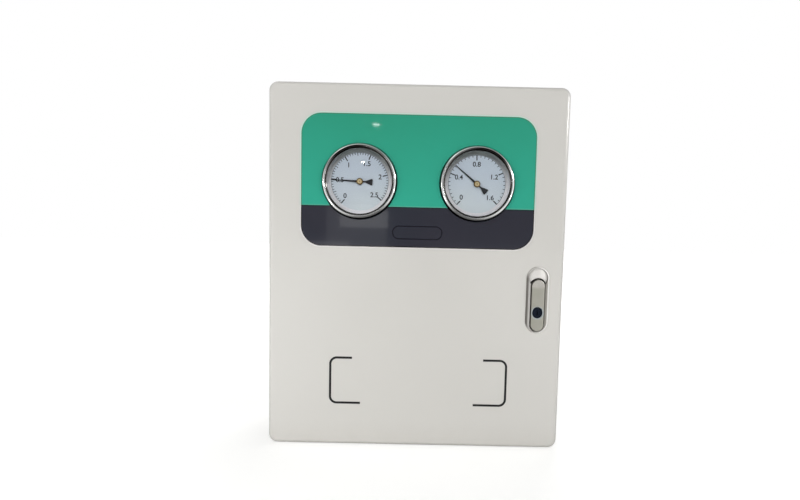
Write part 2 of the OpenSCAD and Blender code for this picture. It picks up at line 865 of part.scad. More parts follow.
module gauge_pointer(angle) {
    hub_f = dial_f + 1.2;
    blade_t = 0.6;
    color("#16171a") {
        forward(hub_f, hub_f + blade_t) rotate(angle) {
            polygon([[0, 1.5], [pointer_len, 0.35], [pointer_len, -0.35], [0, -1.5]]);
            polygon([
                [0, 0.9], [-7, 0.9], [-15.5, 4.2], [-17, 3.6],
                [-17, -3.6], [-15.5, -4.2], [-7, -0.9], [0, -0.9]
            ]);
        }
        peg(4.4, hub_f - 0.4, hub_f + 1);
        peg(3, hub_f + 1, hub_f + 1.8);
        peg(arbor_r, bar_f + 0.2, hub_f);
        forward(sector_f - 0.2, sector_f + sector_t + 0.2) {
            circle(pinion_r - 1.1 * gear_module);
            for (k = [0 : pinion_teeth - 1]) tooth_2d(pinion_r, -90 + k * 360 / pinion_teeth, gear_module);
        }
    }
}

module inlet_gauge_case() gauge_place(-1) gauge_case();
module inlet_gauge_bezel() gauge_place(-1) gauge_bezel();
module inlet_gauge_lens() gauge_place(-1) gauge_lens();
module inlet_gauge_dial() gauge_place(-1) gauge_dial();
module inlet_gauge_movement() gauge_place(-1) gauge_movement();
module inlet_sector() gauge_place(-1) gauge_sector(inlet_reading);
module inlet_link() gauge_place(-1) gauge_link(inlet_reading);
module inlet_pointer() gauge_place(-1) gauge_pointer(scale_start + inlet_twist - inlet_reading);
module outlet_gauge_case() gauge_place(1) gauge_case();
module outlet_gauge_bezel() gauge_place(1) gauge_bezel();
module outlet_gauge_lens() gauge_place(1) gauge_lens();
module outlet_gauge_dial() gauge_place(1) gauge_dial();
module outlet_gauge_movement() gauge_place(1) gauge_movement();
module outlet_sector() gauge_place(1) gauge_sector(outlet_reading);
module outlet_link() gauge_place(1) gauge_link(outlet_reading);
module outlet_pointer() gauge_place(1) gauge_pointer(scale_start + outlet_twist - outlet_reading);

// Pipework. A manifold is drawn for the right side, with its arms pointing to the middle, and mirrored for
// the left

branch_zs = [main_z, standby_z];
valve_out = valve_x + valve_half;
top_z = body_h / 2 + riser_stub;
socket_len = 18;
socket_depth = 12;

// The riser with its two branch arms and the arm to the gauge, as a rod of radius r
module manifold_rod(r, arm_end, line_arm_r, line_arm_end, rod_top) {
    translate([riser_x, -pipe_f, standby_z + elbow_r]) cylinder(r = r, h = rod_top - standby_z - elbow_r);
    translate([riser_x - elbow_r, -pipe_f, standby_z + elbow_r]) rotate([90, 0, 0]) rotate(-90)
        rotate_extrude(angle = 90) translate([elbow_r, 0]) circle(r);
    translate([0, -pipe_f, standby_z]) across(r, arm_end, riser_x - elbow_r);
    translate([0, -pipe_f, main_z]) across(r, arm_end, riser_x);
    translate([0, -pipe_f, gauge_z]) across(line_arm_r, line_arm_end, riser_x);
}

module manifold() {
    socket_x = riser_x - 16;
    difference() {
        union() {
            manifold_rod(pipe_r, valve_out + seat, line_r + 2.5, socket_x, top_z - 1);
            translate([riser_x, -pipe_f, top_z - socket_len]) cylinder(r = pipe_r + 1.8, h = socket_len);
            translate([riser_x, -pipe_f, main_z - 15]) cylinder(r = collar_r, h = 30);
            translate([0, -pipe_f, main_z]) across(collar_r, riser_x - 17, riser_x);
            translate([riser_x, -pipe_f, gauge_z - 12]) cylinder(r = collar_r, h = 24);
        }
        manifold_rod(pipe_bore_r, valve_out + seat - past, line_bore_r, socket_x - past, top_z - 1);
        translate([riser_x, -pipe_f, top_z - socket_depth])
            cylinder(r = pipe_r + run, h = socket_depth + past);
        translate([0, -pipe_f, gauge_z]) across(line_r + seat, socket_x - past, socket_x + 6);
    }
}

module inlet_manifold() {
    color("#b5703f") mirror([1, 0, 0]) manifold();
}

module outlet_manifold() {
    color("#b5703f") difference() {
        union() {
            manifold();
            translate([riser_x, -pipe_f, relief_z - 12]) cylinder(r = collar_r, h = 24);
            translate([0, -pipe_f, relief_z]) across(7, riser_x - 15, riser_x);
        }
        translate([riser_x, -pipe_f, relief_z - 13]) cylinder(r = pipe_bore_r, h = 26);
        translate([0, -pipe_f, relief_z]) across(3, riser_x - 16, riser_x);
    }
}

module gauge_line_rod(r, start_x, front_f) {
    bend_f = pipe_f + line_bend_r;
    translate([0, -pipe_f, gauge_z]) across(r, gauge_x + line_bend_r, start_x);
    translate([gauge_x + line_bend_r, -bend_f, gauge_z]) rotate(90) rotate_extrude(angle = 90)
        translate([line_bend_r, 0]) circle(r);
    translate([gauge_x, 0, gauge_z]) peg(r, bend_f, front_f);
}

module gauge_line() {
    start_x = riser_x - 16 + 6 - seat;
    color("#b5703f") difference() {
        union() {
            gauge_line_rod(line_r, start_x, line_front_f);
            translate([gauge_x, 0, gauge_z]) peg(stem_r - 0.6, line_front_f - 3, line_front_f);
        }
        gauge_line_rod(line_bore_r, start_x + past, line_front_f + past);
    }
}

module inlet_gauge_line() mirror([1, 0, 0]) gauge_line();
module outlet_gauge_line() gauge_line();

module branch_nipples() {
    from_x = regulator_half + seat;
    to_x = valve_x - valve_half - seat;
    color("#b5703f") for (z = branch_zs, side = [0, 1]) mirror([side, 0, 0]) translate([0, -pipe_f, z])
        difference() {
            across(pipe_r, from_x, to_x);
            across(pipe_bore_r, from_x - past, to_x + past);
        }
}

// A union nut, the mouth of which takes the fitting on its outer side when out is 1, or on its inner side
module union_nut(seam_x, out) {
    low = seam_x - nut_len / 2;
    high = seam_x + nut_len / 2;
    difference() {
        nut_across(nut_across_r, low, high);
        across(pipe_r + seat, low - past, high + past);
        if (out == 1) across(stub_r + seat, seam_x, high + past);
        else across(stub_r + seat, low - past, seam_x);
    }
}

// The nut that holds a gauge's stem to its line
module gauge_nut() {
    low_f = line_front_f - 3 - seat - 4;
    high_f = line_front_f + 10;
    translate([gauge_x, 0, gauge_z]) difference() {
        nut_forward(12, low_f, high_f);
        peg(line_r + seat, low_f - past, low_f + 5);
        peg(stem_r + seat, low_f + 4, high_f + past);
    }
}

module union_nuts() {
    color("#c2a04e") for (side = [0, 1]) mirror([side, 0, 0]) gauge_nut();
    color("#c2a04e") for (z = branch_zs, side = [0, 1]) mirror([side, 0, 0]) translate([0, -pipe_f, z]) {
        union_nut(valve_x + valve_half, 0);
        union_nut(valve_x - valve_half, 1);
        union_nut(regulator_half, 0);
    }
}

module relief_valve() {
    x = riser_x - 15 - seat;
    color("#c2a04e") translate([0, -pipe_f, relief_z]) difference() {
        union() {
            nut_across(10, x - 10, x);
            across(9, x - 32, x - 10);
            across(6, x - 38, x - 32);
        }
        across(3, x - 24, x + past);
        for (turn = [35 : 90 : 305]) rotate([turn, 0, 0]) translate([x - 18, 0, 2])
            cylinder(r = 1.6, h = 10);
    }
}

module pipe_clamps() {
    ring_r = pipe_r + seat;
    color("#a8a9a6") for (side = [-1, 1], z = clamp_z) translate([side * riser_x, 0, z]) {
        difference() {
            union() {
                peg(5, plate_front_f, pipe_f - ring_r);
                translate([0, -pipe_f, -7]) cylinder(r = ring_r + 2.5, h = 14);
                translate([-20, -pipe_f - 2.5, -7]) cube([40, 5, 14]);
            }
            translate([0, -pipe_f, -8]) cylinder(r = ring_r, h = 16);
        }
        peg(3, plate_front_f - 6, plate_front_f + 1);
        for (x = [-15.5, 15.5]) translate([x, 0, 0]) peg(3.5, pipe_f + 2.5, pipe_f + 5.5);
    }
}

// Ball valve, drawn with its pipe along X and its stem to the front

module valve_body() {
    color("#c2a04e") difference() {
        union() {
            across(valve_body_r, -12, 12);
            for (side = [-1, 1]) {
                nut_across(valve_body_r + 0.5, side > 0 ? 12 : -19, side > 0 ? 19 : -12);
                across(stub_r, side > 0 ? 19 : -valve_half, side > 0 ? valve_half : -19);
            }
            peg(valve_boss_r, 0, valve_boss_f);
        }
        across(port_r, -valve_half - past, valve_half + past);
        across(ball_r + seat, -ball_r - seat, ball_r + seat);
        peg(stem_pin_r + run, 0, valve_boss_f + past);
    }
}

// Lever, stem and ball, with the lever along +X
module valve_handle() {
    grip_w = 13;
    color("#b3262c") {
        forward(lever_plate_f, lever_plate_f + lever_plate_t) {
            circle(11);
            translate([0, -grip_w / 2]) square([valve_lever_len - grip_w / 2, grip_w]);
            translate([valve_lever_len - grip_w / 2, 0]) circle(grip_w / 2);
        }
        nut_forward(7, lever_plate_f + lever_plate_t, lever_plate_f + lever_plate_t + 5);
        peg(stem_pin_r, ball_r - 2, lever_plate_f + 1);
        difference() {
            sphere(ball_r);
            across(port_r, -ball_r, ball_r);
        }
    }
}

module valve_place(side, z) {
    translate([side * valve_x, -pipe_f, z]) children();
}

module main_inlet_valve() valve_place(-1, main_z) valve_body();
module main_outlet_valve() valve_place(1, main_z) valve_body();
module standby_inlet_valve() valve_place(-1, standby_z) valve_body();
module standby_outlet_valve() valve_place(1, standby_z) valve_body();
module main_inlet_handle() valve_place(-1, main_z) mirror([1, 0, 0]) valve_handle();
module main_outlet_handle() valve_place(1, main_z) valve_handle();
module standby_inlet_handle() valve_place(-1, standby_z) rotate([0, 90, 0]) valve_handle();
module standby_outlet_handle() valve_place(1, standby_z) rotate([0, 90, 0]) valve_handle();

// Regulator, drawn with its pipe along X and its knob to the front

module regulator_body() {
    color("#c2a04e") difference() {
        union() {
            peg(regulator_r, -body_front, body_front);
            peg(flange_r, body_front, body_front + flange_t);
            across(valve_body_r - 2, -36, 36);
            for (side = [-1, 1])
                across(stub_r, side > 0 ? 36 : -regulator_half, side > 0 ? regulator_half : -36);
        }
        for (side = [-1, 1])
            across(port_r, side > 0 ? 10 : -regulator_half - past, side > 0 ? regulator_half + past : -10);
        peg(regulator_r - 6, 8, body_front + flange_t + past);
        screw_holes(body_front - 8);
    }
}

module screw_holes(low_f) {
    for (turn = [30 : 60 : 330]) rotate([0, turn, 0]) translate([screw_ring_r, 0, 0])
        peg(2 + seat, low_f, bonnet_f + past);
}

module regulator_bonnet() {
    start_f = body_front + flange_t + 0.6;
    color("#b99a4c") difference() {
        turned_forward() difference() {
            polygon([
                [0, start_f], [flange_r, start_f], [flange_r, bonnet_f], [regulator_r - 2, bonnet_f],
                [regulator_r - 6, bonnet_f + 16], [11, bonnet_f + 22], [7, bonnet_f + 22],
                [7, bonnet_f + 25], [0, bonnet_f + 25]
            ]);
            polygon([
                [0, start_f - past], [regulator_r - 5, start_f - past], [regulator_r - 5, bonnet_f - 1],
                [regulator_r - 9, bonnet_f + 14], [4 + run, bonnet_f + 18],
                [4 + run, bonnet_f + 26], [0, bonnet_f + 26]
            ]);
        }
        screw_holes(start_f - past);
    }
}

// Knob, spindle and the button that presses on the spring
module regulator_knob() {
    ribs = 12;
    color("#1f5fa8") {
        difference() {
            peg(knob_r, knob_f, knob_f + knob_len);
            for (k = [0 : ribs - 1]) rotate([0, k * 360 / ribs, 0]) translate([knob_r + 1, 0, 0])
                peg(2, knob_f + 3, knob_f + knob_len + past);
            peg(knob_r - 5, knob_f + knob_len - 2, knob_f + knob_len + past);
        }
        peg(4, bonnet_f + 6, knob_f + 1);
        peg(9, bonnet_f + 4, bonnet_f + 7);
    }
}

module regulator_place(z) {
    translate([0, -pipe_f, z]) children();
}

module main_regulator_body() regulator_place(main_z) regulator_body();
module main_regulator_bonnet() regulator_place(main_z) regulator_bonnet();
module main_regulator_knob() regulator_place(main_z) regulator_knob();
module standby_regulator_body() regulator_place(standby_z) regulator_body();
module standby_regulator_bonnet() regulator_place(standby_z) regulator_bonnet();
module standby_regulator_knob() regulator_place(standby_z) regulator_knob();

module bonnet_screws() {
    color("#b5b7b8") for (z = branch_zs) regulator_place(z) for (turn = [30 : 60 : 330])
        rotate([0, turn, 0]) translate([screw_ring_r, 0, 0]) difference() {
            union() {
                peg(2, body_front - 6, bonnet_f);
                peg(3.4, bonnet_f, bonnet_f + 3.5);
            }
            translate([0, -(bonnet_f + 1.5), 0]) rotate([90, 0, 0]) cylinder(r = 1.7, h = 4, $fn = 6);
        }
}

cabinet_shell();
back_panel();
mounting_plate();
plate_fixings();
pipe_grommets();
hinge_brackets();
inlet_gauge_case();
inlet_gauge_bezel();
inlet_gauge_lens();
inlet_gauge_dial();
inlet_gauge_movement();
inlet_sector();
inlet_link();
inlet_pointer();
outlet_gauge_case();
outlet_gauge_bezel();
outlet_gauge_lens();
outlet_gauge_dial();
outlet_gauge_movement();
outlet_sector();
outlet_link();
outlet_pointer();
inlet_manifold();
outlet_manifold();
inlet_gauge_line();
outlet_gauge_line();
branch_nipples();
union_nuts();
relief_valve();
pipe_clamps();
main_inlet_valve();
main_outlet_valve();
standby_inlet_valve();
standby_outlet_valve();
main_inlet_handle();
main_outlet_handle();
standby_inlet_handle();
standby_outlet_handle();
main_regulator_body();
main_regulator_bonnet();
main_regulator_knob();
standby_regulator_body();
standby_regulator_bonnet();
standby_regulator_knob();
bonnet_screws();
door_panel();
facia_panel();
door_gasket();
door_hinge_leaves();
hinge_pins();
lock_housing();
lock_clamp();
lock_screws();
release_button();
handle_lever();
lever_pin();
key_barrel();
key_core();
lock_cam();
cam_nut();
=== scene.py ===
import json
import math

import bmesh
import bpy
from mathutils import Euler, Matrix, Vector

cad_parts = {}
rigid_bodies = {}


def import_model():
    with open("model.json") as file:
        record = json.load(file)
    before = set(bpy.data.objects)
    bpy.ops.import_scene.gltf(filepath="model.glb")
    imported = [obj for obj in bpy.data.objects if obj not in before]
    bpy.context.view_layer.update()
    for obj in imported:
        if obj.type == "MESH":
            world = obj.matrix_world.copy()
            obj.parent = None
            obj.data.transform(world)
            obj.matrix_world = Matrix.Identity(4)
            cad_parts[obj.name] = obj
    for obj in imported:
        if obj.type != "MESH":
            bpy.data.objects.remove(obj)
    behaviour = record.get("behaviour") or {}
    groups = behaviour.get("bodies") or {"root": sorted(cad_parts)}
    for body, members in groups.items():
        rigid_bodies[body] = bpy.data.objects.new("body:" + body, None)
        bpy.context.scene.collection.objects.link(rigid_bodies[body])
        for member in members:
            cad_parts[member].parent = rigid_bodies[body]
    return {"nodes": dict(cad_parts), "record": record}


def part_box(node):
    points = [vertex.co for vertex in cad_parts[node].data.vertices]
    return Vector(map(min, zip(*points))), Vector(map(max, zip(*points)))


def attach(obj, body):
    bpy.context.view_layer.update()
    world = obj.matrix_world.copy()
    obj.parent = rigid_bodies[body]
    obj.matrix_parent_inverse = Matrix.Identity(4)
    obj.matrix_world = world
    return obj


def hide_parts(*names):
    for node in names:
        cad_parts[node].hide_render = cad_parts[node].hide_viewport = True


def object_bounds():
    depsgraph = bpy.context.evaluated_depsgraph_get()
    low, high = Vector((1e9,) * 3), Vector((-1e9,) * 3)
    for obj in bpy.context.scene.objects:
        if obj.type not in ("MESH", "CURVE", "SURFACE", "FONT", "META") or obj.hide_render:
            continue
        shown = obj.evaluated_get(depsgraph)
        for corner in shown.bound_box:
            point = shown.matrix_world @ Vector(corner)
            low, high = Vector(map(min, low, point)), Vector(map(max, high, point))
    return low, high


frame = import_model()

cad_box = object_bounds()
mm = 0.001
white = (1.0, 1.0, 1.0, 1.0)


def paint(red, green, blue):
    """A colour as it looks on a screen, turned into the numbers that light is worked out with"""
    def linear(part):
        part /= 255
        return part / 12.92 if part <= 0.04045 else ((part + 0.055) / 1.055) ** 2.4
    return (linear(red), linear(green), linear(blue), 1.0)


# Materials: a wire is a socket that takes arithmetic, and a finish is a material with its nodes

class Wire:
    def __init__(self, finish, socket):
        self.finish = finish
        self.socket = socket

    def maths(self, operation, *values):
        return self.finish.node("ShaderNodeMath", {"operation": operation}, dict(enumerate(values)))

    def __add__(self, other):
        return self.maths("ADD", self, other)

    def __radd__(self, other):
        return self.maths("ADD", other, self)

    def __sub__(self, other):
        return self.maths("SUBTRACT", self, other)

    def __rsub__(self, other):
        return self.maths("SUBTRACT", other, self)

    def __mul__(self, other):
        return self.maths("MULTIPLY", self, other)

    def __truediv__(self, other):
        return self.maths("DIVIDE", self, other)

    def __pow__(self, other):
        return self.maths("POWER", self, other)

    def __abs__(self):
        return self.maths("ABSOLUTE", self)

    def __lt__(self, other):
        return self.maths("LESS_THAN", self, other)

    def __gt__(self, other):
        return self.maths("GREATER_THAN", self, other)

    def at_least(self, other):
        return self.maths("MAXIMUM", self, other)

    def at_most(self, other):
        return self.maths("MINIMUM", self, other)

    def between(self, low, high):
        """Rises from 0 at low to 1 at high and stays there"""
        values = {0: self, 1: low, 2: high, 3: 0.0, 4: 1.0}
        return self.finish.node("ShaderNodeMapRange", {"clamp": True}, values)

    def other(self, output):
        """Another output of the same node"""
        return Wire(self.finish, self.socket.node.outputs[output])


class Finish:
    def __init__(self, name):
        self.start(bpy.data.materials.new(name), "ShaderNodeOutputMaterial", "Object")

    def start(self, owner, output, coordinates):
        self.owner = owner
        owner.use_nodes = True
        self.tree = owner.node_tree
        self.tree.nodes.clear()
        self.output = self.tree.nodes.new(output)
        self.place = self.node("ShaderNodeTexCoord", {}, {}).other(coordinates)
        self.x = self.node("ShaderNodeSeparateXYZ", {}, {0: self.place})
        self.y = self.x.other("Y")
        self.z = self.x.other("Z")

    def node(self, kind, settings, values, output=0):
        node = self.tree.nodes.new(kind)
        for key, setting in settings.items():
            if key == "stops":
                ramp = node.color_ramp
                while len(ramp.elements) < len(setting):
                    ramp.elements.new(1.0)
                for element, (position, colour) in zip(ramp.elements, setting):
                    element.position = position
                    element.color = colour
            else:
                setattr(node, key, setting)
        for key, value in values.items():
            if isinstance(value, Wire):
                self.tree.links.new(value.socket, node.inputs[key])
            else:
                node.inputs[key].default_value = value
        return Wire(self, node.outputs[output])

    def stretched(self, x, y, z):
        return self.node("ShaderNodeVectorMath", {"operation": "MULTIPLY"}, {0: self.place, 1: (x, y, z)})

    def noise(self, scale, detail=2.0, roughness=0.5, place=None):
        return self.node("ShaderNodeTexNoise", {}, {
            "Vector": place or self.place, "Scale": scale, "Detail": detail, "Roughness": roughness})

    def blend(self, mask, first, second):
        """The first colour where the mask is 0 and the second where it is 1"""
        return self.node("ShaderNodeMix", {"data_type": "RGBA"}, {0: mask, 6: first, 7: second}, 2)

    def bump(self, height, strength, distance):
        values = {"Height": height, "Strength": strength, "Distance": distance}
        return self.node("ShaderNodeBump", {}, values)

    def surface(self, values):
        return self.show(self.node("ShaderNodeBsdfPrincipled", {}, values))

    def show(self, shader):
        self.tree.links.new(shader.socket, self.output.inputs["Surface"])
        return self.owner

    def rays(self):
        """A mask for rays that see a thing straight or through glass, and one for rays that mirror it"""
        path = self.node("ShaderNodeLightPath", {}, {})
        seen = path.at_least(path.other("Is Transmission Ray"))
        return seen, path.other("Is Glossy Ray") * (1 - seen)


class Surroundings(Finish):
    def __init__(self, name):
        self.start(bpy.data.worlds.new(name), "ShaderNodeOutputWorld", "Generated")


def outside_of(x, z, centre, size, corner):
    """How far a point is outside a rounded rectangle, and less than nothing inside it"""
    side = abs(x - centre[0]) - (size[0] / 2 - corner)
    rise = abs(z - centre[1]) - (size[1] / 2 - corner)
    round_the_corner = (side.at_least(0) ** 2 + rise.at_least(0) ** 2) ** 0.5
    return round_the_corner + side.at_least(rise).at_most(0) - corner


def middle_of(low, high):
    """The middle of a box, as seen from the front"""
    return ((low[0] + high[0]) / 2, (low[2] + high[2]) / 2)


def size_of(low, high):
    """The width and height of a box, as seen from the front"""
    return (high[0] - low[0], high[2] - low[2])


door_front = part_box("door_panel")[0][1]
facia_low, facia_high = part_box("facia_panel")
facia_centre = middle_of(facia_low, facia_high)
facia_size = size_of(facia_low, facia_high)
facia_corner = 27 * mm
floor_height = cad_box[0][2]
lock_low, lock_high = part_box("lock_housing")
lever_low, lever_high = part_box("handle_lever")
key_place = middle_of(*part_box("key_barrel"))
gauge_places = {side: middle_of(*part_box(side + "_gauge_bezel")) for side in ("inlet", "outlet")}

# The print: where the facia's dark band ends, the outline on it, and the frame lines on the door
band_top = 83.3 * mm
capsule_centre, capsule_size, capsule_corner = (0.0, 49.3 * mm), (65.9 * mm, 16.9 * mm), 8.0 * mm
frame_centre, frame_size, frame_corner = (5.6 * mm, -154.5 * mm), (241.2 * mm, 62.9 * mm), 8.9 * mm
frame_top_gap = (-85.3 * mm, 94.2 * mm)
frame_foot_gap = (-73.5 * mm, 81.9 * mm)


def reach_from(finish, *places):
    """How far a point is from the nearest of some places on the front"""
    reaches = [((finish.x - place[0]) ** 2 + (finish.z - place[1]) ** 2) ** 0.5 for place in places]
    nearest = reaches[0]
    for reach in reaches[1:]:
        nearest = nearest.at_most(reach)
    return nearest


def powder_coat(name, colour, framed=False):
    """Baked paint with a faint orange peel and dust at its foot

    Framed, it has the printed frame lines and a painted pale highlight round the facia, as on the door.
    """
    coat = Finish(name)
    cloud = coat.noise(6.0, 3.0)
    speck = coat.noise(900.0, 1.0)
    peel = coat.noise(380.0, 2.0)
    smudge = coat.noise(28.0, 4.0, 0.6).between(0.45, 0.75)
    dust = coat.noise(60.0, 5.0, 0.7) * (1 - (coat.z - floor_height).between(0.0, 0.035))
    shade = coat.blend(cloud.between(0.35, 0.65) * 0.5, colour, [part * 0.965 for part in colour[:3]] + [1.0])
    shade = coat.blend((speck > 0.72) * 0.10, shade, [part * 0.8 for part in colour[:3]] + [1.0])
    shade = coat.blend(dust * 0.22, shade, paint(168, 160, 146))
    roughness = 0.30 + smudge * 0.07 + dust * 0.2 + cloud * 0.04
    if framed:
        x, z = coat.x, coat.z
        away = outside_of(x, z, frame_centre, frame_size, frame_corner)
        top_gap = (x > frame_top_gap[0]) * (x < frame_top_gap[1]) * (z > frame_centre[1])
        foot_gap = (x > frame_foot_gap[0]) * (x < frame_foot_gap[1]) * (z < frame_centre[1])
        worn = coat.noise(700.0, 3.0).between(0.2, 0.3)
        line = (abs(away) < 1.55 * mm) * (1 - top_gap) * (1 - foot_gap)
        front = coat.y < door_front + 0.5 * mm
        ink = line * front * worn
        shade = coat.blend(ink, shade, paint(12, 12, 14))
        roughness = roughness + ink * 0.12
        # Painted highlight: a pale line just outside the facia, where light comes through the clear sheet's
        # edge
        beyond = outside_of(x, z, facia_centre, facia_size, facia_corner)
        painted_edge_glow = (beyond > -0.6 * mm) * (beyond < 1.8 * mm) * front
        glow = coat.blend(z < band_top, paint(204, 231, 218), paint(234, 231, 229))
        shade = coat.blend(painted_edge_glow, shade, glow)
    return coat.surface({
        "Base Color": shade, "Roughness": roughness, "Specular IOR Level": 0.45,
        "Coat Weight": 0.6, "Coat Roughness": 0.10,
        "Normal": coat.bump(peel, 0.06, 0.4 * mm)})


def printed_facia():
    """Clear sheet printed on its back: green above, a dark band below and a darker line round the edge"""
    sheet = Finish("printed_facia")
    x, z = sheet.x, sheet.z
    away = outside_of(x, z, facia_centre, facia_size, facia_corner)
    band = z < band_top
    drift = sheet.noise(5.0, 2.0).between(0.3, 0.7)
    height = z.between(95 * mm, 200 * mm)
    green = sheet.blend(height, paint(50, 169, 143), paint(44, 152, 123))
    green = sheet.blend(drift * 0.5, green, paint(46, 163, 139))
    dark = sheet.blend(drift, paint(41, 45, 55), paint(47, 46, 56))
    ground = sheet.blend(band, green, dark)
    half_line = 0.7 * mm
    ground = sheet.blend((abs(z - band_top + half_line) < half_line) * 0.8, ground, paint(26, 46, 46))
    ground = sheet.blend((abs(z - band_top - half_line) < half_line) * 0.5, ground, paint(98, 172, 150))
    capsule = outside_of(x, z, capsule_centre, capsule_size, capsule_corner)
    ground = sheet.blend((abs(capsule) < 0.9 * mm) * 0.9, ground, paint(14, 14, 28))
    rim = sheet.blend(band, paint(62, 130, 100), paint(27, 24, 26))
    ground = sheet.blend((away > -1.4 * mm) * 0.8, ground, rim)
    scratch = sheet.noise(14.0, 2.0, place=sheet.stretched(1.0, 1.0, 40.0)).between(0.66, 0.72)
    return sheet.surface({
        "Base Color": ground, "Roughness": 0.08 + scratch * 0.08 + drift * 0.03,
        "Specular IOR Level": 0.25, "Coat Weight": 0.7, "Coat Roughness": 0.03,
        "Normal": sheet.bump(sheet.noise(120.0, 2.0), 0.02, 0.3 * mm)})


def metal(name, colour, roughness, grain, stretch=(1.0, 1.0, 1.0), tarnish=None):
    """Bare metal with a grain, a cloudy sheen and, where it is given, a tarnish"""
    bare = Finish(name)
    along = bare.stretched(*stretch)
    streak = bare.noise(grain, 3.0, place=along)
    cloud = bare.noise(35.0, 3.0).between(0.35, 0.7)
    shade = bare.blend(cloud, colour, tarnish or [part * 0.86 for part in colour[:3]] + [1.0])
    return bare.surface({
        "Base Color": shade, "Metallic": 1.0,
        "Roughness": roughness + streak * 0.10 + cloud * 0.08,
        "Normal": bare.bump(streak, 0.05, 0.2 * mm)})


def rolled_chrome(name, colour):
    """Polished ring of a gauge, with painted shade where its outer flank turns back into the gap and a
    painted dark reflection inside its brow
    """
    ring = Finish(name)
    haze = ring.noise(1200.0, 3.0)
    reach = reach_from(ring, *gauge_places.values())
    brow = (ring.z - facia_centre[1]).between(12 * mm, 32 * mm)
    outward = (abs(ring.x) - gauge_places["outlet"][0]).between(-16 * mm, 4 * mm)
    # Painted shade on the outer flank below the brow, and a painted dark reflection inside the brow
    painted_dark_flank = reach.between(48.1 * mm, 48.6 * mm) * (1 - brow)
    painted_dark_brow = reach.between(47.4 * mm, 46.7 * mm) * brow * (0.55 + outward * 0.45)
    shade = ring.blend(painted_dark_brow, colour, paint(34, 28, 24))
    return ring.surface({
        "Base Color": ring.blend(painted_dark_flank, shade, paint(34, 40, 38)), "Metallic": 1.0,
        "Roughness": 0.06 + haze * 0.08, "Normal": ring.bump(haze, 0.01, 0.2 * mm)})


def satin(name, colour, roughness):
    """Metal with a satin plating that scatters more light than it mirrors"""
    plated = Finish(name)
    mottle = plated.noise(700.0, 2.0).between(0.35, 0.65)
    cloud = plated.noise(40.0, 3.0).between(0.35, 0.7)
    shade = plated.blend(mottle * 0.3 + cloud * 0.3, colour, [part * 0.84 for part in colour[:3]] + [1.0])
    return plated.surface({
        "Base Color": shade, "Metallic": 0.3, "Roughness": roughness + mottle * 0.12,
        "Normal": plated.bump(mottle, 0.06, 0.2 * mm)})


def moulding(name, colour, roughness, grain=600.0, depth=0.12):
    """Rubber or plastic with a fine moulded grain and a little bloom"""
    mould = Finish(name)
    pit = mould.noise(grain, 2.0)
    bloom = mould.noise(40.0, 4.0).between(0.5, 0.8)
    pale = [min(1.0, part * 1.25 + 0.012) for part in colour[:3]] + [1.0]
    return mould.surface({
        "Base Color": mould.blend(bloom * 0.6, colour, pale),
        "Roughness": roughness + pit * 0.08 + bloom * 0.06,
        "Normal": mould.bump(pit, depth, 0.25 * mm)})


def lock_casting():
    """Satin die casting, lit in paint: pockets in painted shade, the left side paler with a shaded rim, the
    right darker with a highlit rim
    """
    cast = Finish("lock_die_cast")
    grain = cast.noise(500.0, 3.0)
    cloud = cast.noise(35.0, 3.0).between(0.35, 0.7)
    left = (key_place[0] - cast.x).between(-4 * mm, 4 * mm)
    above_lever = (cast.z - lever_high[2]).between(-14 * mm, -6 * mm)
    top = (cast.z - lock_high[2]).between(-16 * mm, -7 * mm)
    ends = top + (lock_low[2] - cast.z).between(-14 * mm, -6 * mm)
    size = size_of(lock_low, lock_high)
    away = outside_of(cast.x, cast.z, middle_of(lock_low, lock_high), size, size[0] / 2)
    edge = away.between(-2.7 * mm, -1.9 * mm)
    depth = cast.y - lock_low[1]
    pocket = 1 - away.between(-5 * mm, -4 * mm) * 0.75
    # Painted shade down in the gaps and pockets
    painted_pocket_shade = depth.between(0.25 * mm, 0.8 * mm) * left
    painted_pocket_shade = painted_pocket_shade + depth.between(1.2 * mm, 2.8 * mm) * (1 - left) * (0.5 + above_lever * 0.45) * pocket
    # Painted light and shade: the left side paler, the right side darker
    shade = cast.blend(left, paint(152, 149, 142), paint(200, 198, 194))
    shade = cast.blend(cloud * 0.3, shade, paint(178, 175, 168))
    shade = cast.blend(painted_pocket_shade * (1 - edge), shade, paint(22, 20, 18))
    # Painted highlight down the right of the rolled rim, and painted shade down the left that lightens
    # towards the ends
    painted_left_edge_shade = cast.blend(ends, paint(112, 109, 104), paint(194, 191, 187))
    shade = cast.blend(edge, shade, cast.blend(left, paint(242, 240, 237), painted_left_edge_shade))
    return cast.surface({
        "Base Color": shade, "Metallic": (0.35 - painted_pocket_shade * 0.3) * (1 - top * 0.9),
        "Roughness": 0.30 + grain * 0.1 + painted_pocket_shade * 0.3,
        "Normal": cast.bump(grain, 0.05, 0.2 * mm)})


